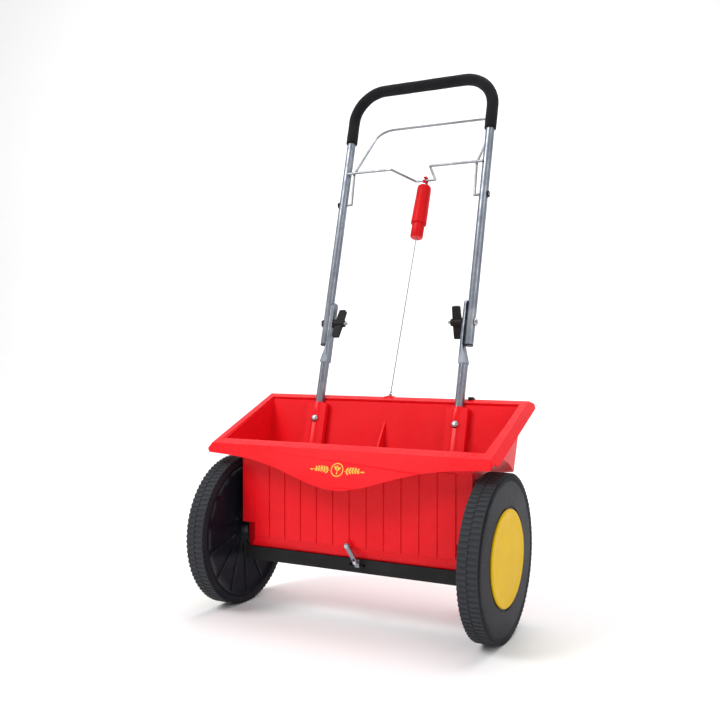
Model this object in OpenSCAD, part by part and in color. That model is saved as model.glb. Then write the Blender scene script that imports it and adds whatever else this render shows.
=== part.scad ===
// Garden drop spreader: a red hopper on two wheels, with a folding tube handle,
// a squeeze bail, a pull wire, and the linkage that opens the shutter below.
// X runs along the axle, the apron faces -Y, the user stands at +Y, Z is up.
// Units are millimetres and the floor is at z = 0.

/* [View] */
// Piece to draw: all, or the name of one piece

/* [Wheels] */
// Outer diameter of a wheel
wheel_d = 260; // [200:1:320]
// Width of a wheel
wheel_w = 35; // [25:1:60]
// Distance between the middles of the two wheels
wheel_track = 480; // [420:1:600]
// Diameter of the axle
axle_d = 12; // [8:0.5:16]
// Diameter of the hub cap
cap_d = 151; // [80:1:200]
// Ribs in each of the two rows round a tread
tread_ribs = 92; // [40:2:120]
// Thin radial ribs on the inner side of a wheel
wheel_webs = 14; // [6:1:20]

/* [Hopper] */
// Length of the rim opening, along X
rim_len = 480; // [400:1:600]
// Distance from the axle forward to the front edge of the rim
rim_front = 64; // [50:1:90]
// Distance from the axle back to the rear edge of the rim
rim_back = 122; // [100:1:150]
// Height of the front edge of the rim
rim_front_z = 288; // [260:1:320]
// Height of the rear edge of the rim
rim_back_z = 364; // [320:1:400]
// Width of the flat land round the rim
land_w = 13; // [8:0.5:20]
// Width of the skirt below the land for each millimetre of its depth
skirt_flare = 0.87; // [0.5:0.01:1.2]
// Length of the trough between the wheels
trough_len = 422; // [380:1:430]
// Inner radius of the trough's round bottom
trough_r = 28; // [24:0.5:32]
// Height of the raised panels on the front of the trough
panel_h = 1.6; // [0.5:0.1:3]
// Wall thickness of the hopper
wall = 3; // [2:0.1:4]
// Raised panels along the front of the trough
panels = 12; // [6:2:16]
// Distance from one panel to the next
panel_pitch = 31; // [25:0.5:40]

/* [Handle] */
// Diameter of the handle tubes
tube_d = 16; // [14:0.5:25]
// Lean of the handle back from upright, in degrees
lean = 15; // [5:0.5:30]
// Half the distance between the legs of the upper handle
handle_x = 142; // [120:1:160]
// Half the distance between the lower tubes
lower_x = 136; // [115:1:155]
// Distance of the clamp bolts behind the axle
clamp_y = 143.5; // [120:0.5:170]
// Height of the clamp bolts
clamp_z = 495.5; // [450:0.5:540]
// Length of the upper handle above the clamp bolts, to the middle of its top tube
handle_len = 471; // [420:1:520]
// Radius of the two bends at the top, at the middle of the tube
bend_r = 60; // [40:1:80]
// Diameter of the foam grip
grip_d = 22; // [20:0.5:34]

/* [Bail] */
// Diameter of the bail's wire
wire_d = 5; // [4:0.5:7]
// Distance of the bail's pivots above the clamp bolts
pivot_s = 237; // [200:1:260]
// Half the width of the bail loop
bail_x = 124.5; // [110:0.5:130]
// Length of the bail's arms beyond the crossbar
bail_arm = 156; // [120:1:180]
// Angle of the bail's arms behind the handle, in degrees
bail_back = 32; // [20:1:40]

/* [Control wire] */
// Place of the pull wire along X
pull_x = -4; // [-10:1:10]
// Height of the eye that guides the wire over the rear rim
guide_z = 361; // [355:1:380]
// Diameter of the pull wire
pull_d = 1.8; // [1:0.1:2.5]
// Diameter of the adjuster's sleeve
sleeve_d = 30; // [20:1:34]

/* [Stand] */
// Place of the stand leg along X
stand_x = 151; // [140:1:170]
// Distance of the stand's foot behind the axle
foot_y = 126; // [100:1:200]

/* [Hidden] */
$fn = 64;
axle_z = wheel_d / 2;
frame_y = -101.5;                      // brings the middle of the whole length to y = 0
slope = atan((rim_back_z - rim_front_z) / (rim_front + rim_back));
rim_run = (rim_front + rim_back) / cos(slope);
half_rim = rim_len / 2;
half_land = half_rim + 12;
half_trough = trough_len / 2;
wheel_in = (wheel_track - wheel_w) / 2;
gap = 0.05;                            // running clearance of a shaft, on the radius
join_z = 250;                          // height where the trough meets the upper hopper
arch_r1 = 136.5;                       // wheel arch radius at the trough
arch_r2 = 150;                         // wheel arch radius at the end wall
tread_h = 1.6;                         // height of the tread's ribs
tyre_in = 118;                         // inner radius of a tyre
cross_s = pivot_s + 60.6;              // place of the crossbar on the handle
hook_n = 62;                           // distance of the pull bar behind the handle
hook_s = 304;                          // place of the pull bar on the handle
guide_y = rim_back + 4;
hook = [pull_x, clamp_y + hook_n * cos(lean) + hook_s * sin(lean),
        clamp_z + hook_s * cos(lean) - hook_n * sin(lean)];
pull_lean = atan((hook[1] - guide_y) / (hook[2] - guide_z));
pull_len = (hook[2] - guide_z) / cos(pull_lean);
crank_x = 20;                          // pivot of the rear bell crank
crank_y = 71;
crank_z = 118;
crank_arm = 24;
crank_turn = 18.1;                     // half of the bell crank's travel, in degrees
pin_arm = 20;
low_y = crank_y - 6.5;                 // where the lower wire meets the nipple
low_dir = [0, low_y - guide_y, crank_z - 6 - guide_z] / norm([low_y - guide_y, crank_z - 6 - guide_z]);
nipple = [crank_x - crank_arm * cos(crank_turn), crank_y + 1.5, crank_z - crank_arm * sin(crank_turn)];
pin_x = crank_x + pin_arm * sin(crank_turn);
pin_z = crank_z - pin_arm * cos(crank_turn);
lever_y = -40;                         // plane of the front lever
lever_z = 130;
lever_x = 0;
lever_pin = [15.4, 105];               // x and z of the shutter pin in the front lever
shut_z = 95.8;                         // underside of the shutter strip
shut_t = 2.3;
stand_pivot = [132, 270];              // y and z of the stand's pivot
bracket_s = (stand_pivot[1] - clamp_z) * cos(lean) + (stand_pivot[0] - clamp_y) * sin(lean);
bracket_holes = [-15, 0, 15];
wall_n = (rim_back - 9 - clamp_y + (clamp_z - rim_back_z + 4) * tan(lean)) * cos(lean) + wall + 0.5;

red = [0.90, 0.11, 0.12];
black = [0.08, 0.08, 0.09];
yellow = [0.90, 0.74, 0.14];
zinc = [0.72, 0.75, 0.80];
steel = [0.55, 0.57, 0.60];

// ---------- frames and small helpers ----------

module placed() translate([0, frame_y, 0]) children();

// a frame on the handle: z runs up the tube, y back out of the handle's plane
module on_handle(x = 0, s = 0) placed()
    translate([x, clamp_y, clamp_z]) rotate([-lean, 0, 0]) translate([0, 0, s]) children();

// a frame on the rim: y runs back along the slope, z is square to the rim
module on_rim() placed() translate([0, -rim_front, rim_front_z]) rotate([slope, 0, 0]) children();

// a frame on the axle: z runs outward from the inner face of the wheel on that side
module on_wheel(side) placed() translate([side * wheel_in, 0, axle_z]) rotate([0, side * 90, 0]) children();

// a frame on the pull wire: z runs up the wire from the guide
module on_wire(s = 0) placed()
    translate([pull_x, guide_y, guide_z]) rotate([-pull_lean, 0, 0]) translate([0, 0, s]) children();

module along_x(len) rotate([0, 90, 0]) translate([0, 0, -len / 2]) children();

// a prism that runs along X, from an outline in y and z
module prism_x(len, outline)
    translate([-len / 2, 0, 0]) rotate([90, 0, 90]) linear_extrude(len) polygon(outline);

// a prism that runs along Y, from an outline in x and z
module prism_y(y0, y1, outline)
    translate([0, y1, 0]) rotate([90, 0, 0]) linear_extrude(y1 - y0) polygon(outline);

// a round bar between two points
module bar(p, q, d) {
    v = q - p;
    translate(p) rotate([0, acos(v[2] / norm(v)), atan2(v[1], v[0])]) cylinder(d = d, h = norm(v));
}

// a bent round wire through a list of points
module wire(points, d) {
    for (i = [0 : len(points) - 2]) bar(points[i], points[i + 1], d);
    for (i = [1 : len(points) - 2]) translate(points[i]) sphere(d = d + 0.06);
}

module ring(d_out, d_in, h) difference() {
    cylinder(d = d_out, h = h);
    translate([0, 0, -1]) cylinder(d = d_in, h = h + 2);
}

module hexagon(across, h) cylinder(d = across / cos(30), h = h, $fn = 6);

// ---------- hopper ----------

function rear_y(z, g) = rim_back - 9 - (rim_back_z - 4 - z) * tan(lean) + g / cos(lean);
function rim_z(y) = rim_front_z + (y + rim_front) * tan(slope);

// outline of the trough in y and z, grown outward by g
function trough_outline(g) =
    let (r = trough_r + g, a = 310, ty = r * cos(a), tz = axle_z + r * sin(a),
         t = (rear_y(tz, g) - ty) / (cos(40) - sin(40) * tan(lean)))
    concat([[-r, join_z + 12]],
           [for (k = [180 : 6.5 : a]) [r * cos(k), axle_z + r * sin(k)]],
           [[ty + t * cos(40), tz + t * sin(40)], [rear_y(join_z + 12, g) - 0.25, join_z + 12]]);

// outline of the upper hopper in y and z, grown outward by g, its top at the rim plus lift
function upper_outline(g, lift) =
    [[-rim_front + land_w - g, rim_z(-rim_front + land_w) + lift], [-trough_r - g, join_z + 8],
     [-trough_r - g, join_z], [rear_y(join_z, g), join_z],
     [rear_y(rim_z(rim_back - 12), g), rim_z(rim_back - 12) + lift]];

// lower front corners of the trough, cut back to a wall that stands g away
module cut_corners(g, top) for (side = [-1, 1]) scale([side, 1, 1])
    translate([0, 0, 90]) linear_extrude(top - 90) polygon([[185 - 2 * g, -45], [185 - 2 * g, -31 + 0.68 * g],
        [half_trough + 2, -10.5 + 0.68 * g], [half_trough + 2, -45]]);

module trough(g, len, top) difference() {
    prism_x(len, trough_outline(g));
    cut_corners(wall - g, top);
}

module upper_body(g, lift) intersection() {
    prism_x(600, upper_outline(g, lift));
    prism_y(-150, 200, [[-half_rim + 5 - g, join_z], [half_rim - 5 + g, join_z],
                        [half_rim + g, rim_back_z + 20], [-half_rim - g, rim_back_z + 20]]);
}

module wheel_arches(extra) for (side = [-1, 1]) translate([side * (half_trough - 0.5), 0, axle_z])
    rotate([0, side * 90, 0]) cylinder(r1 = arch_r1 + extra, r2 = arch_r2 + extra, h = 29, $fn = 128);

// four-sided block that widens downward under the rim, inset by t
module skirt_block(t, depth) intersection() {
    f = skirt_flare * depth;
    prism_y(-90, rim_run + 90, [[-half_land + t, 0], [half_land - t, 0],
                                [half_land - t + f, -depth], [-half_land + t - f, -depth]]);
    prism_x(700, [[t, 0], [rim_run - t, 0], [rim_run - t + f, -depth], [t - f, -depth]]);
}

// depth of the apron under the rim at x
function apron(x) = 12.5 + 7 * (1 - abs(x) / 265) + 30 * exp(-pow(x / 115, 2));

module rounded_plate(w, v0, v1, r, h) translate([0, 0, -h]) linear_extrude(h + 1) union() {
    for (x = [-w + r, w - r], v = [v0 + r, v1 - r]) translate([x, v]) circle(r = r);
    translate([-w, v0 + r]) square([2 * w, v1 - v0 - 2 * r]);
    translate([-w + r, v0]) square([2 * (w - r), v1 - v0]);
}

// outline of the rim from above, inset by t, its corners round and its front edge left free
module skirt_edge(t) translate([0, 0, -60]) linear_extrude(61) union() {
    c = half_land - 5;
    r = 15.6 - t;
    for (x = [-c, c], v = [3.4, rim_run - 5]) translate([x, v]) circle(r = r);
    translate([-c - r, 3.4]) square([2 * (c + r), rim_run - 8.4]);
    translate([-c, -60]) square([2 * c, rim_run + 55 + r]);
}

module skirt() difference() {
    intersection() {
        skirt_block(0, 60);
        skirt_edge(0);
        union() {
            translate([-300, 0, -12]) cube([600, rim_run + 20, 12]);
            prism_y(-60, 3, concat([[-half_land - 10.6, 0]],
                [for (x = [-half_land - 10.6 : 11.7 : half_land + 10.7]) [x, -apron(x)]],
                [[half_land + 10.6, 0]]));
        }
    }
    intersection() {
        translate([0, 0, -2.6]) skirt_block(1.5, 60);
        skirt_edge(1.5);
    }
}

module rim_land() intersection() {
    translate([-half_land, 0, -3]) cube([2 * half_land, rim_run, 3]);
    rounded_plate(half_land, -0.5, rim_run, 12, 4);
}

// socket that holds a lower tube against the rear wall
module tube_socket(x) on_handle(x, -338) {
    cylinder(d = 24, h = 188);
    translate([-19, -9, 0]) cube([38, 10, 186]);
}

// bolts that hold the lower tubes: places along the handle
bolt_s = [-181, -304];

module panel(i) intersection() {
    prism_x(trough_len, trough_outline(wall + panel_h));
    translate([(i - (panels - 1) / 2) * panel_pitch - panel_pitch / 2 + 1.5, -60, 127])
        cube([panel_pitch - 3, 48, join_z - 118]);
}

module outlets(z, h) for (i = [-5 : 5]) translate([i * 36 - 7, -4, z]) cube([14, 8, h]);

module hopper() color(red) difference() {
    union() {
        placed() difference() {
            union() {
                difference() {
                    upper_body(wall, -2);
                    wheel_arches(0);
                }
                trough(wall, trough_len, 150);
                prism_x(trough_len, [[-15, 98.6], [15, 98.6], [15, 104], [-15, 104]]);
                for (i = [0 : panels - 1]) panel(i);
                // bosses for the two pivots and the axle bushes
                translate([crank_x, 20, crank_z]) rotate([-90, 0, 0]) cylinder(d = 16, h = 38);
                translate([lever_x, lever_y + 0.4, lever_z]) rotate([-90, 0, 0]) cylinder(d = 13, h = 9);
                for (x = [-180 : 90 : 180]) translate([x, 19.6, 98.8]) cylinder(d = 6, h = 10);
                for (side = [-1, 1]) translate([pull_x + side * 6.1, guide_y, guide_z])
                    translate([-1.6, -8, -12]) cube([3.2, 14, 16]);
            }
            difference() {
                union() {
                    difference() {
                        upper_body(0, 12);
                        wheel_arches(3.2);
                    }
                    trough(0, trough_len - 2 * wall, 153.5);
                }
                // the middle brace and the sockets stay inside the hopper
                translate([-1.5, 0, 0])
                    prism_x(3, [[-40, 205], [-40, 150], [90, 150], [100, 322], [70, 278]]);
                for (side = [-1, 1]) translate([side * (half_trough - 6), 0, axle_z])
                    along_x(10) cylinder(d = 34, h = 10);
                translate([-half_trough, -15, 98.6]) cube([trough_len, 30, 5.4]);
            }
            outlets(90, 30);
            translate([0, 0, axle_z]) along_x(500) cylinder(d = 22.1, h = 500);
            translate([crank_x, 40, crank_z]) rotate([-90, 0, 0]) cylinder(d = 6, h = 40);
            translate([lever_x, lever_y - 2, lever_z]) rotate([-90, 0, 0]) cylinder(d = 4, h = 9.5);
        }
        for (x = [-lower_x, lower_x]) tube_socket(x);
        on_rim() difference() {
            union() {
                skirt();
                rim_land();
            }
            translate([-half_rim, land_w, -9]) cube([rim_len, rim_run - 2 * land_w, 12]);
        }
    }
    // tubes, bolts, bracket screws and the notch for the wire
    for (v = bracket_holes) on_handle(stand_x + 15, bracket_s + v)
        rotate([-90, 0, 0]) translate([0, 0, wall_n - 2.9]) cylinder(d = 4, h = 12);
    for (x = [-lower_x, lower_x]) {
        on_handle(x, -336) cylinder(d = tube_d + 0.3, h = 250);
        for (s = bolt_s) on_handle(x, s) rotate([90, 0, 0]) translate([0, 0, -30]) cylinder(d = 6.2, h = 60);
    }
    placed() translate([0, guide_y, guide_z]) along_x(40) cylinder(d = 3.06, h = 40);
    placed() translate([pull_x - 4.7, rim_back - 3, rim_back_z - 25]) cube([9.4, 40, 50]);
    placed() for (x = [-180 : 90 : 180]) translate([x, 19.6, 90]) cylinder(d = 3, h = 15);
}

// ---------- base rail and shutter ----------

module base_rail() color(black) placed() difference() {
    translate([-half_trough, -24, 84]) cube([trough_len, 48, 24.5]);
    translate([0, 0, axle_z]) along_x(500) cylinder(r = trough_r + wall + panel_h + 0.4, h = 500, $fn = 96);
    translate([-half_trough - 1, -15.4, shut_z - 0.4]) cube([trough_len + 2, 30.8, 30]);
    translate([-half_trough + 14, -8, 80]) cube([trough_len - 28, 16, 30]);
    translate([-4, -40, shut_z - 0.4]) cube([28, 30, 3.2]);
    translate([4.6, 10, shut_z - 0.4]) cube([37.4, 30, 3.2]);
    for (x = [-180 : 90 : 180]) translate([x, 19.6, 80]) cylinder(d = 3.6, h = 30);
    for (x = [-180 : 90 : 180]) translate([x, 19.6, 98.5]) cylinder(d = 6.8, h = 12);
}

module rail_screws() color(zinc) placed() for (x = [-180 : 90 : 180]) translate([x, 19.6, 80.4]) {
    cylinder(d = 7, h = 3.5);
    cylinder(d = 2.9, h = 23);
}

module shutter() color(zinc) placed() {
    difference() {
        translate([-193, -12, shut_z]) cube([386, 24, shut_t]);
        translate([14, 0, 0]) outlets(90, 20);
    }
    translate([lever_pin[0] - 4, lever_y + 4, shut_z]) cube([8, 26, shut_t]);
    difference() {
        translate([lever_pin[0] - 4, lever_y + 4, shut_z]) cube([8, 2, 13]);
        translate([lever_pin[0], lever_y, lever_pin[1]]) rotate([-90, 0, 0]) cylinder(d = 3.1, h = 20);
    }
    difference() {
        translate([pin_x - 8, 0, shut_z]) {
            translate([0, 11, 0]) cube([16, crank_y - 17, shut_t]);
            translate([0, crank_y - 8, -6]) cube([16, 2.3, 17]);
        }
        translate([pin_x - 2.8, crank_y - 12, shut_z - 3]) cube([5.6, 12, 12]);
    }
}

module shutter_pin() color(steel) placed() translate([lever_pin[0], lever_y - 5, lever_pin[1]])
    rotate([-90, 0, 0]) {
        cylinder(d = 3, h = 12);
        cylinder(d = 5.4, h = 1.6);
    }

// ---------- axle and wheels ----------

module axle() color(steel) placed() translate([0, 0, axle_z]) along_x(508) difference() {
    cylinder(d = axle_d, h = 508);
    translate([0, 0, 508 - 6.5]) rotate([90, 0, 0]) translate([0, 0, -20]) cylinder(d = 4.1, h = 40);
    translate([0, 0, 18]) rotate([90, 0, 0]) translate([0, 0, -20]) cylinder(d = 4.1, h = 40);
}

// sleeve with short stirring fingers in four rows
module agitator() color(black) placed() translate([0, 0, axle_z]) along_x(394) {
    ring(19, axle_d, 394);
    for (i = [1 : 20]) translate([0, 0, 8 + i * 18]) rotate([0, 0, 45 * (i % 8)]) difference() {
        translate([-24, -1.5, -4]) cube([48, 3, 8]);
        translate([0, 0, -5]) cylinder(d = axle_d + 4, h = 10);
    }
}

module axle_bushes() color(black) placed() for (side = [-1, 1])
    translate([side * (half_trough - 13.2), 0, axle_z]) rotate([0, side * 90, 0]) {
        ring(22, axle_d + 2 * gap, 15.6);
        translate([0, 0, 13.2]) ring(30, axle_d + 2 * gap, 2.4);
    }

module wheel_spacers() color(zinc) for (side = [-1, 1]) on_wheel(side)
    translate([0, 0, -9.1]) ring(20, axle_d + 2 * gap, 17.9);

module drive_pin() color(steel) on_wheel(-1)
    translate([0, -16, 13.5]) rotate([-90, 0, 0]) cylinder(d = 4, h = 32);

// washer and split pin that keep the right wheel on
module axle_clip() color(steel) on_wheel(1) {
    translate([0, -10, 25]) rotate([-90, 0, 0]) cylinder(d = 4, h = 20);
    translate([0, 0, 20.3]) ring(22, axle_d + 0.1, 2.4);
}

// hollow wheel: a cone plate on the inner side with thin radial ribs, and a flat outer face
module wheel_body(bore, pin_hole) difference() {
    union() {
        rotate_extrude($fn = 96) polygon([[24, 9], [111, 2.6], [113.5, 0.5], [tyre_in, 0.5], [tyre_in, 34.5],
            [80, 34.5], [78.5, 32.6], [24, 32.6], [24, 30], [80, 30], [109, 31], [109.5, 5.4], [24, 11.7]]);
        translate([0, 0, 9]) cylinder(d = 56, h = 23.6);
        for (i = [0 : wheel_webs - 1]) rotate([0, 0, i * 360 / wheel_webs])
            rotate([90, 0, 0]) translate([0, 0, -0.7]) linear_extrude(1.4)
                polygon([[26, 9.6], [26, 8], [110, 1.6], [110, 3.4]]);
    }
    translate([0, 0, -1]) cylinder(d = bore, h = 32.8);
    if (pin_hole) translate([0, -16.2, 13.5]) rotate([-90, 0, 0]) cylinder(d = 4.1, h = 32.4);
    if (!pin_hole) translate([0, 0, 20]) cylinder(d = 26, h = 20);
    // vents under the cap
    for (a = [30, 150, 270]) rotate([0, 0, a]) translate([45, 0, 28]) cylinder(d = 5, h = 6);
}

module tread_row(turn) rotate([0, 0, turn]) linear_extrude(15.4) difference() {
    polygon([for (i = [0 : tread_ribs - 1], c = [0 : 3])
        let (a = (i + [0, 0.08, 0.56, 0.64][c]) * 360 / tread_ribs,
             r = (c == 0 || c == 3) ? axle_z - tread_h : axle_z)
        [r * cos(a), r * sin(a)]]);
    circle(r = tyre_in + 4);
}

module tyre() {
    translate([0, 0, 1.4]) tread_row(0);
    translate([0, 0, 18.2]) tread_row(180 / tread_ribs);
    rotate_extrude($fn = 96) polygon([[tyre_in, 0], [124, 0], [axle_z - tread_h, 2.2],
                            [axle_z - tread_h, wheel_w - 2.2], [124, wheel_w], [tyre_in, wheel_w]]);
}

module hub_cap() rotate_extrude($fn = 96) polygon([[0, 33.6], [60, 33.6], [72, 34.6], [cap_d / 2, 32.7],
    [cap_d / 2, 35.6], [73.5, 37], [70, 36.8], [60, 35.4], [0, 35.4]]);

module wheel_left() color(black) on_wheel(-1) wheel_body(axle_d, true);
module wheel_right() color(black) on_wheel(1) wheel_body(axle_d + 2 * gap, false);
module tyre_left() color(black) on_wheel(-1) tyre();
module tyre_right() color(black) on_wheel(1) tyre();
module cap_left() color(yellow) on_wheel(-1) hub_cap();
module cap_right() color(yellow) on_wheel(1) hub_cap();

// ---------- handle ----------

// round tube whose top end is pressed flat to lie inside the upper handle's leg
module lower_tube(side) color(zinc) on_handle(side * lower_x, 0) {
    difference() {
        union() {
            translate([0, 0, -336]) cylinder(d = tube_d, h = 262);
            intersection() {
                translate([0, 0, -75]) cylinder(d = 21, h = 115);
                scale([side, 1, 1]) prism_y(-12, 12, [[-8, -74], [8, -74], [-2.4, -42], [-2.4, 38.5],
                                                      [-7.6, 38.5], [-7.6, -60]]);
                prism_x(60, [[-8, -74], [8, -74], [10.5, -44], [10.5, 31],
                             [5, 38.5], [-5, 38.5], [-10.5, 31], [-10.5, -44]]);
            }
        }
        translate([0, 0, -337]) cylinder(d = tube_d - 2.6, h = 262);
        for (s = bolt_s) translate([0, 0, s]) rotate([90, 0, 0])
            translate([0, 0, -20]) cylinder(d = 6.1, h = 40);
        along_x(60) cylinder(d = 6.6, h = 60);
    }
}
module lower_tube_left() lower_tube(-1);
module lower_tube_right() lower_tube(1);

module tube_bolts() color(zinc) for (x = [-lower_x, lower_x], s = bolt_s) on_handle(x, s)
    rotate([-90, 0, 0]) {
        translate([0, 0, -14.4]) cylinder(d = 6, h = 34.4);
        translate([0, 0, -15]) rotate_extrude()
            polygon([[0, 0], [3.5, 0.2], [5.6, 1.2], [6.6, 2.8], [0, 2.8]]);
    }

module tube_nuts() color(zinc) for (x = [-lower_x, lower_x], s = bolt_s) on_handle(x, s)
    rotate([-90, 0, 0]) difference() {
        union() {
            translate([0, 0, 12.2]) cylinder(d = 13, h = 1.4);
            translate([0, 0, 13.6]) hexagon(10, 5);
        }
        translate([0, 0, 10]) cylinder(d = 6.1, h = 20);
    }

module tube_bend(d) translate([handle_x - bend_r, 0, handle_len - bend_r]) rotate([90, 0, 0])
    rotate_extrude(angle = 90) translate([bend_r, 0]) circle(d = d);

module handle_path(d, low) {
    for (side = [-1, 1]) {
        translate([side * handle_x, 0, low]) cylinder(d = d, h = handle_len - bend_r - low);
        mirror([side < 0 ? 1 : 0, 0, 0]) tube_bend(d);
    }
    translate([0, 0, handle_len]) along_x(2 * (handle_x - bend_r))
        cylinder(d = d, h = 2 * (handle_x - bend_r));
}

module upper_handle() color(zinc) on_handle() difference() {
    handle_path(tube_d, -40);
    handle_path(tube_d - 2.6, -41);
    along_x(320) cylinder(d = 6.1, h = 320);
    translate([0, 0, pivot_s]) along_x(320) cylinder(d = wire_d + 2 * gap, h = 320);
}

module tube_end_caps() color(black) for (x = [-handle_x, handle_x]) on_handle(x, -42) {
    cylinder(d = tube_d, h = 1.9);
    cylinder(d = tube_d - 2.8, h = 14);
}

module grip() color(black) on_handle() difference() {
    handle_path(grip_d, 365);
    handle_path(tube_d + 0.1, 360);
}

module clamp_bolts() color(zinc) for (side = [-1, 1]) on_handle()
    mirror([side < 0 ? 1 : 0, 0, 0]) rotate([0, 90, 0]) {
        translate([0, 0, 101]) cylinder(d = 6, h = 51);
        translate([0, 0, 150.3]) rotate_extrude() polygon([[0, 0], [7.5, 0], [7, 2], [4, 3.4], [0, 3.8]]);
    }

// knob with two flat wings, on the inner end of a clamp bolt
module wing_knob(side) color(black) on_handle() mirror([side < 0 ? 1 : 0, 0, 0]) difference() {
    union() {
        rotate([0, 90, 0]) translate([0, 0, 106]) cylinder(d1 = 13, d2 = 17, h = 21.8);
        for (a = [0, 180]) rotate([a + (side > 0 ? 26 : -18), 0, 0]) translate([0, 3.5, 0])
            rotate([90, 0, 0]) linear_extrude(7)
                polygon([[109.5, 3], [124.5, 3], [123.5, 27.5], [122, 29], [111.5, 29], [110, 27.5]]);
    }
    rotate([0, 90, 0]) translate([0, 0, 98]) cylinder(d = 6 + 2 * gap, h = 40);
}
module wing_knob_left() wing_knob(-1);
module wing_knob_right() wing_knob(1);

// ---------- bail ----------

loop_end = [0, bail_arm * sin(bail_back) - 4.4, cross_s + bail_arm * cos(bail_back)];
loop_dir = [0, sin(bail_back), cos(bail_back)];
corner_r = 32;

// one side of the loop: pivot tail, arm and bent corner
module bail_side() {
    wire([[handle_x + 10, 0, pivot_s], [bail_x, 0, pivot_s], [bail_x, -4.4, cross_s],
          loop_end - corner_r * loop_dir + [bail_x, 0, 0]], wire_d);
    translate(loop_end - corner_r * loop_dir + [bail_x - corner_r, 0, 0]) rotate([-bail_back, 0, 0]) {
        rotate([90, 0, 0]) rotate_extrude(angle = 90) translate([corner_r, 0]) circle(d = wire_d);
        translate([corner_r, 0, 0]) sphere(d = wire_d + 0.06);
        translate([0, 0, corner_r]) sphere(d = wire_d + 0.06);
    }
}

module bail_loop() color(zinc) on_handle() {
    bail_side();
    mirror([1, 0, 0]) bail_side();
    translate(loop_end) along_x(2 * (bail_x - corner_r)) cylinder(d = wire_d, h = 2 * (bail_x - corner_r));
}

// bar across the arms, with the crank in its middle that pulls the wire
module bail_crossbar() color(zinc) on_handle()
    wire([[-137.3, -9.45, cross_s], [pull_x - 39.5, -9.45, cross_s], [pull_x - 20.5, hook_n, hook_s],
          [pull_x + 20.5, hook_n, hook_s], [pull_x + 39.5, -9.45, cross_s], [137.3, -9.45, cross_s]], wire_d);

module bail_retainers() color(black) for (side = [-1, 1]) on_handle(side * (handle_x + 8.3), pivot_s)
    rotate([0, side * 90, 0]) ring(12, wire_d, 1.6);

// ---------- pull wire and adjuster ----------

core_s = pull_len - 123;

// flat eye that hangs on the crank, open at the front so that it can be unhooked, on a threaded shank
module adjuster_eye() color(red) on_wire(pull_len) {
    difference() {
        along_x(5) cylinder(d = 16, h = 5);
        along_x(7) cylinder(d = wire_d + 2.6, h = 7);
        rotate([-6, 0, 0]) translate([-4, -20, -wire_d / 2 - 0.4]) cube([8, 20, wire_d + 0.8]);
    }
    translate([0, 0, -16]) cylinder(d = 9, h = 10.5);
    translate([0, 0, -60]) cylinder(d = 7, h = 46);
}

module adjuster_nut() color(zinc) on_wire(pull_len - 12.6) difference() {
    hexagon(14, 3);
    translate([0, 0, -1]) cylinder(d = 9.2, h = 6);
}

module adjuster_sleeve() color(red) on_wire(pull_len - 94) difference() {
    rotate_extrude() polygon([[0, 0], [sleeve_d / 2, 0], [sleeve_d / 2 - 1.6, 76], [sleeve_d / 2 - 2.2, 79],
        [sleeve_d / 2 - 4, 81], [0, 81]]);
    translate([0, 0, -1]) cylinder(d = 24.2, h = 60);
    translate([0, 0, 50]) cylinder(d = 9.4, h = 40);
}

module adjuster_core() color(red) on_wire(core_s) difference() {
    union() {
        cylinder(d1 = 21, d2 = 24, h = 2);
        translate([0, 0, 2]) cylinder(d = 24, h = 54);
    }
    translate([0, 0, 24]) cylinder(d = 17, h = 40);
    translate([0, 0, -1]) cylinder(d = pull_d, h = 40);
}

module pull_wire_upper() color(steel) on_wire(4) {
    cylinder(d = pull_d, h = core_s + 21);
    translate([0, 0, core_s + 20.3]) cylinder(d = 6, h = 6);
}

module wire_ferrule() color(steel) on_wire(5.9) ring(5, 3.5, 2.4);

module wire_bead() color(steel) on_wire(10.4) ring(3.8, pull_d + 2 * gap, 2.2);

// grooved guide on the rear rim, open at the back, that the wire runs through
module wire_guide() color(black) placed() translate([pull_x, guide_y, guide_z]) difference() {
    along_x(8) cylinder(d = 11, h = 8);
    for (x = [-3.8, 3.8]) translate([x, 0, 0]) along_x(2.4) cylinder(d = 3.1, h = 2.4);
    translate([-1.5, -2.4, -8]) cube([3, 20, 16]);
}

module guide_pin() color(zinc) placed() for (side = [-1, 1])
    translate([pull_x + side * 2.7, guide_y, guide_z]) rotate([0, side * 90, 0]) cylinder(d = 3, h = 5);

module pull_wire_lower() color(steel) placed()
    bar([pull_x, guide_y, guide_z] + 5.7 * low_dir, [nipple[0], low_y, nipple[2] + 2.4], pull_d);

module wire_nipple() color(steel) placed()
    translate(nipple + [0, -10, 0]) rotate([-90, 0, 0]) cylinder(d = 5, h = 12.5);

// ---------- bell crank and front lever ----------

module crank_plate() difference() {
    union() {
        cylinder(d = 18, h = 3);
        translate([-crank_arm, -4.5, 0]) cube([crank_arm, 9, 3]);
        translate([-crank_arm, 0, 0]) cylinder(d = 12, h = 3);
        translate([-4.5, 0, 0]) cube([9, pin_arm, 3]);
        translate([0, pin_arm, 0]) cylinder(d = 10, h = 3);
        translate([0, pin_arm, 0]) cylinder(d = 5, h = 11);
    }
    translate([0, 0, -1]) cylinder(d = 8 + 2 * gap, h = 6);
    // short slot that lets the nipple rise in a straight line
    for (u = [0, 1.4]) translate([-crank_arm + u, 0, -1]) cylinder(d = 5.3, h = 6);
    translate([-crank_arm, -2.65, -1]) cube([1.4, 5.3, 6]);
}

module bell_crank() color(zinc) placed() translate([crank_x, crank_y + 3, crank_z])
    rotate([90, 0, 0]) rotate([0, 0, crank_turn]) mirror([0, 1, 0]) crank_plate();

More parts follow.
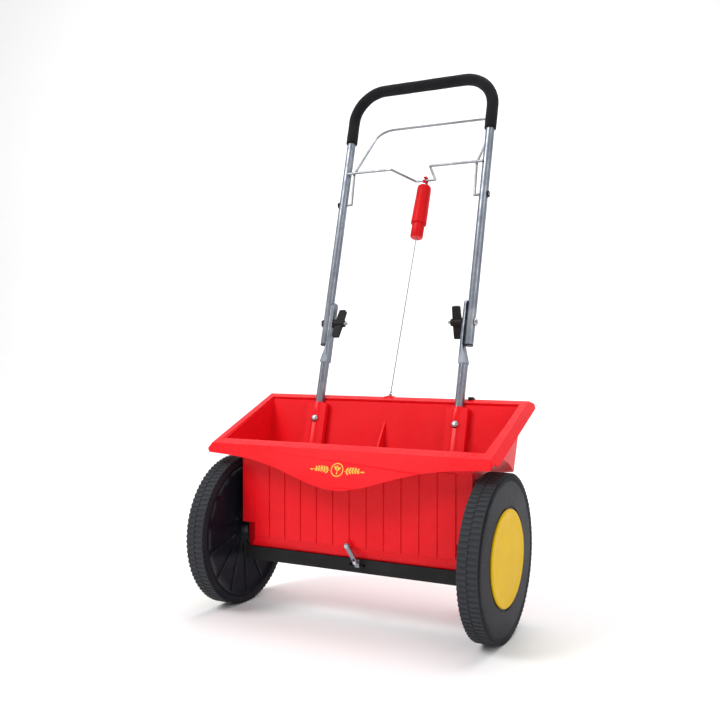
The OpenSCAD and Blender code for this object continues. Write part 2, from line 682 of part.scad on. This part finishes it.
module crank_stud() color(steel) placed() translate([crank_x, 0, crank_z]) rotate([-90, 0, 0]) {
    translate([0, 0, 42]) cylinder(d = 5.9, h = 17);
    translate([0, 0, 58.3]) cylinder(d = 8, h = crank_y + 3.4 - 58.3);
    translate([0, 0, crank_y + 3.4]) cylinder(d = 14, h = 2.4);
}

// wound spring that turns the bell crank back
module crank_spring() color(steel) placed() translate([crank_x, 0, crank_z]) rotate([-90, 0, 0]) {
    for (i = [0 : 3]) translate([0, 0, 60.4 + i * 2.4]) rotate_extrude() translate([5.5, 0]) circle(d = 1.9);
}

module front_lever() color(zinc) placed() translate([lever_x, lever_y, lever_z]) {
    turn = atan(lever_pin[0] / (lever_z - lever_pin[1]));
    len = norm([lever_pin[0], lever_z - lever_pin[1]]);
    rotate([90, 0, 0]) rotate([0, 0, turn]) difference() {
        union() {
            cylinder(d = 10, h = 2.6);
            translate([-3.6, -len - 1, 0]) cube([7.2, len + 1, 2.6]);
            translate([0, -len - 1, 0]) cylinder(d = 7.2, h = 2.6);
        }
        translate([0, 0, -1]) cylinder(d = 4 + 2 * gap, h = 6);
        for (k = [-0.3, 4.6]) translate([0, -len + k, -1]) cylinder(d = 4.2, h = 6);
        translate([-2.1, -len - 0.3, -1]) cube([4.2, 4.9, 6]);
    }
}

module lever_stud() color(steel) placed() translate([lever_x, lever_y, lever_z]) rotate([90, 0, 0]) {
    translate([0, 0, -7]) cylinder(d = 4, h = 10);
    translate([0, 0, 3]) cylinder(d = 6.4, h = 1.4);
}

// ---------- stand ----------

// channel bracket on the rear wall, with a cheek on each side of the stand leg
module stand_bracket() color(zinc) difference() {
    union() {
        on_handle(stand_x, bracket_s) translate([-9.2, wall_n + 0.2, -22]) cube([30, 3, 44]);
        on_handle(stand_x, bracket_s) for (x = [-9.2, 6.6])
            translate([x, wall_n + 0.2, -15]) cube([2.6, 46, 30]);
    }
    placed() translate([0, stand_pivot[0], stand_pivot[1]]) along_x(600) cylinder(d = 8 + 2 * gap, h = 600);
    for (v = bracket_holes) on_handle(stand_x + 15, bracket_s + v)
        rotate([-90, 0, 0]) cylinder(d = 4, h = 30);
    on_handle(lower_x, -340) cylinder(d = 25, h = 250);
}

module bracket_screws() color(zinc) for (v = bracket_holes) on_handle(stand_x + 15, bracket_s + v)
    rotate([-90, 0, 0]) {
        translate([0, 0, wall_n - 2.8]) cylinder(d = 3.9, h = 6.4);
        translate([0, 0, wall_n + 3.4]) cylinder(d = 7.5, h = 2.2);
    }

module stand_bolt() color(zinc) placed()
    translate([stand_x, stand_pivot[0], stand_pivot[1]]) rotate([0, 90, 0]) {
        translate([0, 0, -12]) cylinder(d = 8, h = 24);
        translate([0, 0, -14]) hexagon(13, 4.6);
        translate([0, 0, 9.4]) hexagon(13, 4.6);
    }

foot_z = 14;

module stand_leg() color(zinc) placed() translate([stand_x, 0, 0]) difference() {
    union() {
        bar([0, stand_pivot[0], stand_pivot[1]], [0, foot_y, foot_z], 10);
        translate([0, stand_pivot[0], stand_pivot[1]]) rotate([0, 90, 0])
            translate([0, 0, -6]) cylinder(d = 16, h = 12);
    }
    translate([0, stand_pivot[0], stand_pivot[1]]) rotate([0, 90, 0])
        translate([0, 0, -8]) cylinder(d = 8 + 2 * gap, h = 16);
}

module stand_foot() color(black) placed() translate([stand_x, foot_y, 0]) difference() {
    union() {
        cylinder(d = 28, h = 5);
        translate([0, 0, 5]) cylinder(d1 = 24, d2 = 18, h = 19);
    }
    bar([0, 0, foot_z], [0, stand_pivot[0] - foot_y, stand_pivot[1]], 10);
}

// spring clip that hangs on the rear rim by a strip and holds the folded stand leg
module stand_clip() color(black) placed() difference() {
    translate([stand_x, 0, 0]) union() {
        prism_x(9, [[117.6, rim_z(117.6) + 0.4], [rim_back + 0.3, rim_back_z + 0.5], [137, 357.6], [137, 348],
            [141, 348], [141, 359.6], [rim_back + 1.5, rim_back_z + 4], [118.4, 368]]);
        prism_x(16, [[137, 334], [164, 334], [164, 350], [137, 350]]);
    }
    translate([stand_x, stand_pivot[0], stand_pivot[1]]) rotate([-lean, 0, 0]) {
        cylinder(d = 10.6, h = 200);
        translate([-5.3, 0, 0]) cube([10.6, 40, 200]);
    }
}

hopper();
base_rail();
rail_screws();
shutter();
shutter_pin();
axle();
agitator();
axle_bushes();
wheel_spacers();
drive_pin();
axle_clip();
wheel_left();
wheel_right();
tyre_left();
tyre_right();
cap_left();
cap_right();
lower_tube_left();
lower_tube_right();
tube_bolts();
tube_nuts();
clamp_bolts();
wing_knob_left();
wing_knob_right();
upper_handle();
tube_end_caps();
grip();
bail_loop();
bail_crossbar();
bail_retainers();
adjuster_eye();
adjuster_core();
adjuster_sleeve();
adjuster_nut();
pull_wire_upper();
wire_ferrule();
wire_bead();
wire_guide();
guide_pin();
pull_wire_lower();
wire_nipple();
bell_crank();
crank_stud();
crank_spring();
front_lever();
lever_stud();
stand_bracket();
bracket_screws();
stand_bolt();
stand_leg();
stand_foot();
stand_clip();
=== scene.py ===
import bpy, bmesh, math
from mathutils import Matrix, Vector


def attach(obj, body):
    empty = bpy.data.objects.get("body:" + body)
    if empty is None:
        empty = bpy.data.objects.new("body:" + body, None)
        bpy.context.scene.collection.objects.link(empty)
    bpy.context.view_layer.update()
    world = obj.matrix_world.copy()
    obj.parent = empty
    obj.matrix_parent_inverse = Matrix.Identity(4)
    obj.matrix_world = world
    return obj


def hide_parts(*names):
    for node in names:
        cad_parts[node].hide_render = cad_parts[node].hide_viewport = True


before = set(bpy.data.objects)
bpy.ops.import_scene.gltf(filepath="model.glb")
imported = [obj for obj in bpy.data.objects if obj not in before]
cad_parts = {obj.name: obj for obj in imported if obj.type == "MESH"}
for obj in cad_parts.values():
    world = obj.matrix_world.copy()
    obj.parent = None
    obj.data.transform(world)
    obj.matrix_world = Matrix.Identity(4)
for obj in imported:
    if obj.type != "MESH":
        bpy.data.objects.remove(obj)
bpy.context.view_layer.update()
scene = bpy.context.scene

# All lengths are metres unless a name or comment says mm. The apron faces -Y and Z is up.
AXLE_Y = -0.1015

# the handle folds here, and leans back from it
PIVOT_Y, PIVOT_Z = 0.1435 + AXLE_Y, 0.4955
HANDLE_LEAN = math.radians(15)

# foam grip: its middle line, and its section
LEG_X = 0.142                        # half the distance between the handle's legs
BEND_R = 0.060
GRIP_TOP, GRIP_LOW = 0.471, 0.365    # up the handle from the pivot
GRIP_R = 0.01085
GRIP_SIDES = 40
# radius, and place along the handle, of the rings that turn each end of the grip in to the tube
GRIP_LIP = ((0.0104, -0.0006), (0.0097, -0.0009), (0.0088, -0.0007), (0.00815, 0.0004))

# apron: in the sloping rim's own directions, its front face goes APRON_FLARE forward for each 1 down
RIM_FRONT = Vector((0, -0.064 + AXLE_Y, 0.288))
RIM_SLOPE = math.atan(76 / 186)
APRON_FLARE = 0.87
FLARE_LENGTH = math.hypot(APRON_FLARE, 1)

# printed mark: height of the ink over the apron's face, how far it is sunk in, and its place
INK_TOP, INK_FOOT = 0.00022, -0.0001
MARK_DEPTH_MM = 24                   # below the rim
MARK_RING_MM = (11.2, 9.6)           # outer and inner radius


# ---------- materials ----------

class Mat:
    """A node material: a Principled shader with noise driven colour, roughness and bump."""

    def __init__(self, name, base, rough=0.5, metal=0.0, spec=0.5, coat=0.0, ior=1.5):
        self.m = bpy.data.materials.new(name)
        self.m.use_nodes = True
        self.m.diffuse_color = (*base, 1)
        self.tree = self.m.node_tree
        self.n = self.tree.nodes
        self.n.clear()
        self.p = self.n.new("ShaderNodeBsdfPrincipled")
        self.link(self.p.outputs[0], self.n.new("ShaderNodeOutputMaterial").inputs[0])
        self.p.inputs["Base Color"].default_value = (*base, 1)
        self.p.inputs["Roughness"].default_value = rough
        self.p.inputs["Metallic"].default_value = metal
        self.p.inputs["Specular IOR Level"].default_value = spec
        self.p.inputs["IOR"].default_value = ior
        self.p.inputs["Coat Weight"].default_value = coat
        self.p.inputs["Coat Roughness"].default_value = 0.1
        self.coord = self.n.new("ShaderNodeTexCoord").outputs["Object"]
        self.height = None

    def link(self, a, b):
        self.tree.links.new(a, b)

    def mapping(self, scale=(1, 1, 1), rot=(0, 0, 0)):
        k = self.n.new("ShaderNodeMapping")
        k.inputs["Scale"].default_value = scale
        k.inputs["Rotation"].default_value = rot
        self.link(self.coord, k.inputs["Vector"])
        return k.outputs[0]

    def noise(self, scale, detail=3, rough=0.5, vec=None):
        k = self.n.new("ShaderNodeTexNoise")
        k.inputs["Scale"].default_value = scale
        k.inputs["Detail"].default_value = detail
        k.inputs["Roughness"].default_value = rough
        self.link(vec or self.coord, k.inputs["Vector"])
        return k.outputs["Fac"]

    def voronoi(self, scale, out="Distance"):
        k = self.n.new("ShaderNodeTexVoronoi")
        k.inputs["Scale"].default_value = scale
        self.link(self.coord, k.inputs["Vector"])
        return k.outputs[out]

    def ramp(self, fac, lo, hi, a, b):
        """Map lo..hi of a value to a..b."""
        k = self.n.new("ShaderNodeMapRange")
        k.inputs["From Min"].default_value = lo
        k.inputs["From Max"].default_value = hi
        k.inputs["To Min"].default_value = a
        k.inputs["To Max"].default_value = b
        self.link(fac, k.inputs["Value"])
        return k.outputs[0]

    def math(self, op, *values):
        k = self.n.new("ShaderNodeMath")
        k.operation = op
        for sock, v in zip(k.inputs, values):
            if isinstance(v, (int, float)):
                sock.default_value = v
            else:
                self.link(v, sock)
        return k.outputs[0]

    def mix(self, fac, a, b):
        k = self.n.new("ShaderNodeMix")
        k.data_type = "RGBA"
        self.link(fac, k.inputs["Factor"])
        for sock, v in ((k.inputs["A"], a), (k.inputs["B"], b)):
            if isinstance(v, tuple):
                sock.default_value = (*v, 1)
            else:
                self.link(v, sock)
        return k.outputs["Result"]

    def normal_x(self):
        """How far the surface looks along the axle, from -1 to 1."""
        split = self.n.new("ShaderNodeSeparateXYZ")
        self.link(self.n.new("ShaderNodeNewGeometry").outputs["True Normal"], split.inputs[0])
        return split.outputs["X"]

    def color(self, out):
        self.link(out, self.p.inputs["Base Color"])

    def rough(self, out):
        self.link(out, self.p.inputs["Roughness"])

    def bump(self, height, strength, dist):
        """Add one more layer of relief over those already there."""
        k = self.n.new("ShaderNodeBump")
        k.inputs["Strength"].default_value = strength
        k.inputs["Distance"].default_value = dist
        self.link(height, k.inputs["Height"])
        if self.height:
            self.link(self.height, k.inputs["Normal"])
        self.height = k.outputs[0]
        self.link(self.height, self.p.inputs["Normal"])


def plastic(name, tones, rough, grain=900, bump=0.12, dist=0.0004, coat=0.0, spec=0.5, ior=1.5,
            dust=None, scuff=None, tread_highlight=None):
    """A moulded surface: two close tones and a fine grain.

    dust and scuff are each a colour and how strong it is; tread is a lighter colour painted on the faces
    that look away from the axle's direction: a painted highlight on the tyre's running face.
    """
    m = Mat(name, tones[0], sum(rough) / 2, spec=spec, coat=coat, ior=ior)
    col = m.mix(m.ramp(m.noise(9, 3, 0.55), 0.35, 0.65, 0, 1), *tones)
    fine = m.noise(grain, 2, 0.5)
    if scuff:
        streak = m.noise(60, 4, 0.7, m.mapping((1, 1, 9), (0.4, 0.3, 0.2)))
        col = m.mix(m.ramp(streak, 0.66, 0.78, 0, scuff[1]), col, scuff[0])
    if dust:
        patches = m.ramp(m.noise(35, 4, 0.65), 0.42, 0.7, 0, 1)
        col = m.mix(m.math("MULTIPLY", patches, dust[1]), col, dust[0])
    # painted highlight: faces that look away from the axle are mixed toward a lighter colour
    if tread_highlight:
        col = m.mix(m.ramp(m.math("ABSOLUTE", m.normal_x()), 0.35, 0.75, 1, 0), col, tread_highlight)
    m.color(col)
    broad = m.ramp(m.noise(14, 4, 0.6), 0.3, 0.7, *rough)
    m.rough(m.math("ADD", broad, m.ramp(fine, 0.3, 0.7, -0.02, 0.02)))
    m.bump(fine, bump, dist)
    return m


def red_plastic():
    m = plastic("red_plastic", ((0.85, 0.009, 0.016), (0.79, 0.007, 0.013)), (0.24, 0.34), 700, 0.10,
                0.0003, coat=0.03, spec=0.3, ior=1.33, scuff=((0.84, 0.05, 0.05), 0.06))
    m.bump(m.noise(48, 2, 0.4), 0.10, 0.002)
    return m.m


def red_part():
    return plastic("red_part", ((0.70, 0.008, 0.011), (0.63, 0.006, 0.009)), (0.28, 0.42), 1100, 0.2,
                   spec=0.3, ior=1.3).m


def black_plastic():
    return plastic("black_plastic", ((0.008, 0.008, 0.00864), (0.012, 0.012, 0.0132)), (0.38, 0.52), 1500,
                   0.25, dust=((0.06, 0.06, 0.06), 0.06), spec=0.4, ior=1.28).m


def wheel_plastic():
    return plastic("wheel_plastic", ((0.0065, 0.0069, 0.0115), (0.0095, 0.0100, 0.0160)), (0.18, 0.30),
                   1200, 0.16, dust=((0.03, 0.03, 0.04), 0.02), spec=0.4, ior=1.12).m


def tyre_rubber():
    # lighter grey painted on the tyre's running face is a painted highlight, not the rubber's own colour
    m = plastic("tyre_rubber", ((0.012, 0.0125, 0.016), (0.019, 0.020, 0.025)), (0.46, 0.60), 1600, 0.35,
                dust=((0.05, 0.05, 0.06), 0.04), spec=0.4, ior=1.14, tread_highlight=(0.046, 0.048, 0.053))
    m.bump(m.noise(260, 3, 0.6), 0.16, 0.001)
    return m.m


def yellow_plastic():
    m = plastic("yellow_plastic", ((0.78, 0.485, 0.003), (0.73, 0.44, 0.002)), (0.42, 0.54), 900, 0.35,
                scuff=((0.82, 0.54, 0.03), 0.08), spec=0.3, ior=1.3)
    m.bump(m.voronoi(700), 0.12, 0.0004)
    return m.m


def powder_coat():
    return plastic("powder_coat", ((0.010, 0.010, 0.011), (0.017, 0.017, 0.018)), (0.48, 0.64), 1300, 0.4,
                   dust=((0.05, 0.05, 0.05), 0.08), scuff=((0.06, 0.06, 0.065), 0.2), spec=0.4, ior=1.28).m


def print_yellow():
    return plastic("print_yellow", ((0.80, 0.50, 0.03), (0.74, 0.44, 0.022)), (0.30, 0.42), 900, 0.1,
                   0.0002).m


def zinc(name, bright, dull, rough, grain_scale=(1, 1, 0.12)):
    """Zinc plate: cool grey, mottled, with faint drawing lines along the axis of the smallest scale."""
    m = Mat(name, bright, 0.3, 1.0)
    mottle = m.noise(70, 5, 0.62, m.mapping((1, 1, 0.45)))
    spangle = m.n.new("ShaderNodeSeparateColor")
    m.link(m.voronoi(210, "Color"), spangle.inputs[0])
    f = m.math("ADD", m.ramp(mottle, 0.34, 0.66, 0, 0.75), m.ramp(spangle.outputs[0], 0, 1, 0, 0.25))
    col = m.mix(f, bright, dull)
    m.color(m.mix(m.ramp(m.noise(17, 3, 0.6), 0.58, 0.72, 0, 0.35), col, (0.66, 0.66, 0.65)))
    lines = m.noise(900, 2, 0.5, m.mapping(grain_scale))
    m.rough(m.math("ADD", m.ramp(mottle, 0.3, 0.7, *rough), m.ramp(lines, 0.3, 0.7, -0.05, 0.05)))
    m.bump(lines, 0.10, 0.0003)
    m.bump(mottle, 0.05, 0.0006)
    return m.m


def steel_wire():
    m = Mat("drawn_wire", (0.50, 0.51, 0.53), 0.3, 1.0)
    f = m.noise(420, 3, 0.6)
    m.color(m.mix(m.ramp(f, 0.3, 0.7, 0, 1), (0.34, 0.35, 0.37), (0.20, 0.21, 0.23)))
    m.rough(m.ramp(f, 0.3, 0.7, 0.24, 0.42))
    twist = m.n.new("ShaderNodeTexWave")
    twist.inputs["Scale"].default_value = 420
    m.link(m.mapping((1, 1, 0.6), (0.5, 0.4, 0)), twist.inputs["Vector"])
    m.bump(twist.outputs["Fac"], 0.25, 0.0003)
    return m.m


def foam():
    m = Mat("foam", (0.009, 0.009, 0.011), 0.85, spec=0.3, ior=1.3)
    tone = m.ramp(m.noise(40, 3, 0.6), 0.3, 0.7, 0, 1)
    m.color(m.mix(tone, (0.006, 0.006, 0.008), (0.012, 0.012, 0.014)))
    m.rough(m.ramp(m.noise(1900, 2, 0.6), 0.3, 0.7, 0.74, 0.94))
    m.p.inputs["Sheen Weight"].default_value = 0.06
    m.p.inputs["Sheen Roughness"].default_value = 0.5
    m.bump(m.voronoi(1500), 0.5, 0.0005)
    m.bump(m.noise(120, 3, 0.5), 0.18, 0.0012)
    return m.m


MATERIALS = {
    "red": red_plastic(), "red_part": red_part(), "black": black_plastic(), "wheel": wheel_plastic(),
    "tyre": tyre_rubber(), "yellow": yellow_plastic(), "wire": steel_wire(), "foam": foam(),
    "rail": powder_coat(), "print": print_yellow(),
    "zinc": zinc("zinc", (0.35, 0.375, 0.42), (0.20, 0.225, 0.27), (0.34, 0.50)),
    "bolt": zinc("zinc_bolt", (0.52, 0.53, 0.56), (0.36, 0.37, 0.40), (0.18, 0.34), (1, 1, 1)),
    "rod": zinc("zinc_rod", (0.36, 0.37, 0.39), (0.24, 0.25, 0.27), (0.28, 0.44), (0.2, 1, 1)),
    "dark": zinc("zinc_dark", (0.30, 0.31, 0.34), (0.20, 0.21, 0.24), (0.26, 0.44)),
}

# CAD pieces of each material; the ones not named here are plain zinc
LOOK = {
    "red": ["hopper"],
    "red_part": ["adjuster_eye", "adjuster_core", "adjuster_sleeve", "wire_guide"],
    "rail": ["base_rail"],
    "black": ["agitator", "axle_bushes", "wing_knob_left", "wing_knob_right", "tube_end_caps",
              "bail_retainers", "stand_foot", "stand_clip"],
    "wheel": ["wheel_left", "wheel_right"],
    "tyre": ["tyre_left", "tyre_right"],
    "yellow": ["cap_left", "cap_right"],
    "foam": ["grip"],
    "rod": ["bail_loop", "bail_crossbar"],
    "wire": ["pull_wire_upper", "pull_wire_lower", "crank_spring", "wire_ferrule", "wire_bead"],
    "bolt": ["rail_screws", "tube_bolts", "tube_nuts", "clamp_bolts", "bracket_screws", "stand_bolt",
             "crank_stud", "lever_stud", "shutter_pin", "drive_pin", "axle_clip", "adjuster_nut",
             "wire_nipple", "guide_pin", "bell_crank"],
    "dark": ["front_lever"],
}
look_of = {node: look for look, names in LOOK.items() for node in names}

# width of the rounding along the edges of each piece
PLAIN_EDGE = 0.00035
EDGE = {"hopper": 0.0011, "base_rail": 0.0012, "adjuster_sleeve": 0.0009, "adjuster_core": 0.0009,
        "wing_knob_left": 0.0016, "wing_knob_right": 0.0016, "stand_foot": 0.0012, "cap_left": 0.0007,
        "cap_right": 0.0007, "wheel_left": 0.0007, "wheel_right": 0.0007, "tyre_left": 0.0004,
        "tyre_right": 0.0004, "stand_clip": 0.001}

for name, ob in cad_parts.items():
    ob.data.materials.clear()
    ob.data.materials.append(MATERIALS[look_of.get(name, "zinc")])
    weld = ob.modifiers.new("weld", "WELD")
    weld.merge_threshold = 0.00002
    edge = ob.modifiers.new("edge", "BEVEL")
    edge.width = EDGE.get(name, PLAIN_EDGE)
    edge.segments = 2
    edge.limit_method = "ANGLE"
    edge.angle_limit = math.radians(38)
    edge.use_clamp_overlap = True
    edge.harden_normals = True
    edge.miter_outer = "MITER_ARC"


# ---------- new pieces ----------

def add(name, mesh, material):
    """An object of the scene with one material."""
    mesh.materials.append(material)
    ob = bpy.data.objects.new(name, mesh)
    scene.collection.objects.link(ob)
    return ob


def smooth_mesh(name, verts, faces):
    mesh = bpy.data.meshes.new(name)
    mesh.from_pydata(verts, [], faces)
    mesh.polygons.foreach_set("use_smooth", [True] * len(mesh.polygons))
    return mesh


def on_handle(x, n, s):
    """A point x across, n behind and s up the handle from its pivot."""
    y = PIVOT_Y + n * math.cos(HANDLE_LEAN) + s * math.sin(HANDLE_LEAN)
    return Vector((x, y, PIVOT_Z + s * math.cos(HANDLE_LEAN) - n * math.sin(HANDLE_LEAN)))


def grip_path():
    """Middle line of the grip, across and up the handle: a leg, a bend, the top, a bend, a leg."""
    bend_s = GRIP_TOP - BEND_R
    leg = [(-LEG_X, GRIP_LOW + (bend_s - GRIP_LOW) * i / 8) for i in range(8)]
    bend = [(-LEG_X + BEND_R - BEND_R * math.cos(a), bend_s + BEND_R * math.sin(a))
            for a in [math.pi / 2 * i / 18 for i in range(19)]]
    top = [(-LEG_X + BEND_R + (2 * (LEG_X - BEND_R)) * i / 16, GRIP_TOP) for i in range(1, 16)]
    return leg + bend + top + [(-x, s) for x, s in reversed(leg + bend)]


def grip():
    """Foam sleeve: a tube swept along the handle's bend, a little uneven, with rounded open ends."""
    path = grip_path()
    last = len(path) - 1
    angles = [2 * math.pi * j / GRIP_SIDES for j in range(GRIP_SIDES)]
    verts, faces = [], []
    for k, (x, s) in enumerate(path):
        before, after = path[max(k - 1, 0)], path[min(k + 1, last)]
        along = Vector((after[0] - before[0], 0, after[1] - before[1])).normalized()
        side = Vector((along.z, 0, -along.x))
        wave = 0.00010 * math.sin(k * 0.9) + 0.00008 * math.sin(k * 2.3 + 1)
        for u in angles:
            rad = GRIP_R + wave + 0.00005 * math.sin(3 * u + k * 0.4)
            d = side * (rad * math.cos(u)) + Vector((0, rad * math.sin(u), 0))
            verts.append(tuple(on_handle(x + d.x, d.y, s + d.z)))

    def band(low, high):
        """Faces between two rings, each given by the numbers of its vertices."""
        for j in range(GRIP_SIDES):
            after = (j + 1) % GRIP_SIDES
            faces.append((low[j], low[after], high[after], high[j]))

    rings = [range(k * GRIP_SIDES, (k + 1) * GRIP_SIDES) for k in range(last + 1)]
    for low, high in zip(rings, rings[1:]):
        band(low, high)
    for end, turn in ((0, 1), (last, -1)):
        x, s = path[end]
        outer = rings[end]
        for rad, shift in GRIP_LIP:
            inner = range(len(verts), len(verts) + GRIP_SIDES)
            verts += [tuple(on_handle(x + turn * rad * math.cos(u), rad * math.sin(u), s + shift))
                      for u in angles]
            band(outer, inner)
            outer = inner
    mesh = smooth_mesh("foam_grip", verts, faces)
    bm = bmesh.new()
    bm.from_mesh(mesh)
    bmesh.ops.recalc_face_normals(bm, faces=bm.faces)
    bm.to_mesh(mesh)
    bm.free()
    ob = add("foam_grip", mesh, MATERIALS["foam"])
    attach(ob, "handle")
    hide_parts("grip")


grip()


# Printed mark on the apron: a ring with a seedling between two sprigs. Its outlines are in mm.

def on_apron(x, depth, lift):
    """A point x across the apron's front face and depth below the rim, lifted off the face."""
    v = -APRON_FLARE * depth - lift / FLARE_LENGTH
    n = -depth + lift * APRON_FLARE / FLARE_LENGTH
    return RIM_FRONT + Vector((x, v * math.cos(RIM_SLOPE) - n * math.sin(RIM_SLOPE),
                               v * math.sin(RIM_SLOPE) + n * math.cos(RIM_SLOPE)))


def leaf(cx, cy, length, width, turn, curl):
    """Outline of a pointed leaf from its foot at (cx, cy)."""
    steps = 8
    rim = [(t / steps, math.sin(math.pi * (t / steps) ** 0.8) * 0.5) for t in range(steps + 1)]
    rim += [(a, -b) for a, b in reversed(rim[1:-1])]
    pts = [(a * length, b * width + curl * width * math.sin(math.pi * a)) for a, b in rim]
    c, d = math.cos(turn), math.sin(turn)
    return [(cx + a * c - b * d, cy + a * d + b * c) for a, b in pts]


def stroke(points, w):
    """A band of width w along a line of points."""
    left, right = [], []
    for i, (x, y) in enumerate(points):
        a, b = points[max(i - 1, 0)], points[min(i + 1, len(points) - 1)]
        t = Vector((b[0] - a[0], b[1] - a[1])).normalized()
        left.append((x - t.y * w / 2, y + t.x * w / 2))
        right.append((x + t.y * w / 2, y - t.x * w / 2))
    return left + right[::-1]


def decal(name, outlines, ring=None):
    """Printed shapes on the apron, y up its face, with a little thickness; ring is a pair of radii."""
    bm = bmesh.new()

    def at(x, y, lift):
        # y runs up the flared face, so a millimetre of it is less than a millimetre of depth
        return bm.verts.new(on_apron(x / 1000, (MARK_DEPTH_MM - y / FLARE_LENGTH) / 1000, lift))

    for outline in outlines:
        top = [at(x, y, INK_TOP) for x, y in outline]
        low = [at(x, y, INK_FOOT) for x, y in outline]
        bm.faces.new(top)
        for i in range(len(outline)):
            j = (i + 1) % len(outline)
            bm.faces.new((top[i], low[i], low[j], top[j]))
    if ring:
        outer, inner = ring
        sides = 72
        angles = [2 * math.pi * i / sides for i in range(sides)]
        loops = [[at(r * math.cos(a), r * math.sin(a), lift) for a in angles]
                 for r, lift in ((outer, INK_FOOT), (outer, INK_TOP), (inner, INK_TOP), (inner, INK_FOOT))]
        for a, b in zip(loops, loops[1:]):
            for i in range(sides):
                j = (i + 1) % sides
                bm.faces.new((a[i], a[j], b[j], b[i]))
    bmesh.ops.recalc_face_normals(bm, faces=bm.faces)
    mesh = bpy.data.meshes.new(name)
    bm.to_mesh(mesh)
    bm.free()
    ob = add(name, mesh, MATERIALS["print"])
    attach(ob, "frame")


def sprig(sign):
    """A stem that grows outward to the side of sign, with five pairs of leaves and one at its tip."""
    stem = [(sign * (14 + 30 * t / 12), 2.2 * math.sin(math.pi * t / 12) - 1.6) for t in range(13)]

    def outward(angle):
        return angle if sign > 0 else math.pi - angle

    shapes = [stroke(stem, 1.1)]
    for i, (x, y) in enumerate(stem[1:11:2]):
        size = 7.4 - 0.5 * i
        shapes += [leaf(x, y, size, 3.0, side * outward(0.95), 0.1 * side * sign) for side in (1, -1)]
    return shapes + [leaf(*stem[-1], 5.5, 2.6, outward(0.15), 0.15)]


SEEDLING = [stroke([(0, -7.5), (0.3, -3), (-0.2, 1.2)], 1.5), leaf(0, -1.5, 8.8, 5.0, 0.75, 0.2),
            leaf(0, -0.5, 8.8, 5.0, math.pi - 0.75, -0.2), leaf(-0.1, 0.5, 7.6, 2.8, math.pi / 2, 0)]
decal("mark_ring", SEEDLING, MARK_RING_MM)
decal("mark_sprig_left", sprig(-1))
decal("mark_sprig_right", sprig(1))


# ---------- floor, light and camera ----------

# backdrop: a flat floor that curves up behind the spreader into a wall, square to the camera
BACKDROP_TURN = math.radians(27.7)
FLOOR_HALF_WIDTH = 7
FLOOR_FRONT, FLOOR_BACK = -6.0, 2.6
COVE_R = 1.4
WALL_TOP = 5.0


def floor():
    angles = [math.pi / 2 * i / 16 for i in range(1, 17)]
    profile = [(FLOOR_FRONT, 0.0), (FLOOR_BACK, 0.0)]
    profile += [(FLOOR_BACK + COVE_R * math.sin(a), COVE_R - COVE_R * math.cos(a)) for a in angles]
    profile += [(FLOOR_BACK + COVE_R, WALL_TOP)]
    verts = [(x, y, z) for y, z in profile for x in (-FLOOR_HALF_WIDTH, FLOOR_HALF_WIDTH)]
    faces = [(2 * i, 2 * i + 1, 2 * i + 3, 2 * i + 2) for i in range(len(profile) - 1)]
    paper = Mat("floor_paper", (0.92, 0.92, 0.925), 0.75, spec=0.25)
    paper.color(paper.mix(paper.noise(3, 3, 0.5), (0.915, 0.915, 0.92), (0.93, 0.93, 0.935)))
    paper.bump(paper.noise(900, 2, 0.5), 0.03, 0.0003)
    ob = add("floor", smooth_mesh("floor", verts, faces), paper.m)
    ob.rotation_euler = (0, 0, BACKDROP_TURN)


def area(name, loc, aim, size, power):
    """A soft light of the given size that looks at aim."""
    light = bpy.data.lights.new(name, "AREA")
    light.shape = "RECTANGLE"
    light.size, light.size_y = size
    light.energy = power
    ob = bpy.data.objects.new(name, light)
    ob.location = loc
    ob.rotation_euler = (Vector(aim) - Vector(loc)).to_track_quat("-Z", "Y").to_euler()
    scene.collection.objects.link(ob)


floor()
area("key", (-1.6, -2.2, 2.6), (0, 0, 0.4), (1.3, 1.3), 64)
area("fill", (2.6, -1.2, 1.4), (0, 0, 0.4), (1.4, 2.2), 18)
area("top", (0.2, 0.4, 3.2), (0, 0, 0.3), (2.0, 1.4), 32)
area("back", (0.4, 2.4, 1.9), (0, 0, 0.5), (2.4, 1.2), 14)
area("wall", (-0.2, 1.1, 2.8), (-1.3, 3.6, 1.0), (2.2, 0.6), 60)

world = bpy.data.worlds.new("studio")
scene.world = world
world.use_nodes = True
background = world.node_tree.nodes["Background"]
background.inputs["Color"].default_value = (1, 1, 1, 1)
background.inputs["Strength"].default_value = 0.5

scene.view_settings.view_transform = "Standard"
scene.view_settings.look = "None"

lens = bpy.data.cameras.new("camera")
lens.sensor_width = 36
lens.lens = 45.31
lens.clip_start, lens.clip_end = 0.05, 50
camera = bpy.data.objects.new("camera", lens)
camera.location = (0.6978, -1.3277 + AXLE_Y, 0.4551)
camera.rotation_euler = (math.radians(90 - 0.912), math.radians(-0.1), math.radians(27.668))
scene.collection.objects.link(camera)
scene.camera = camera
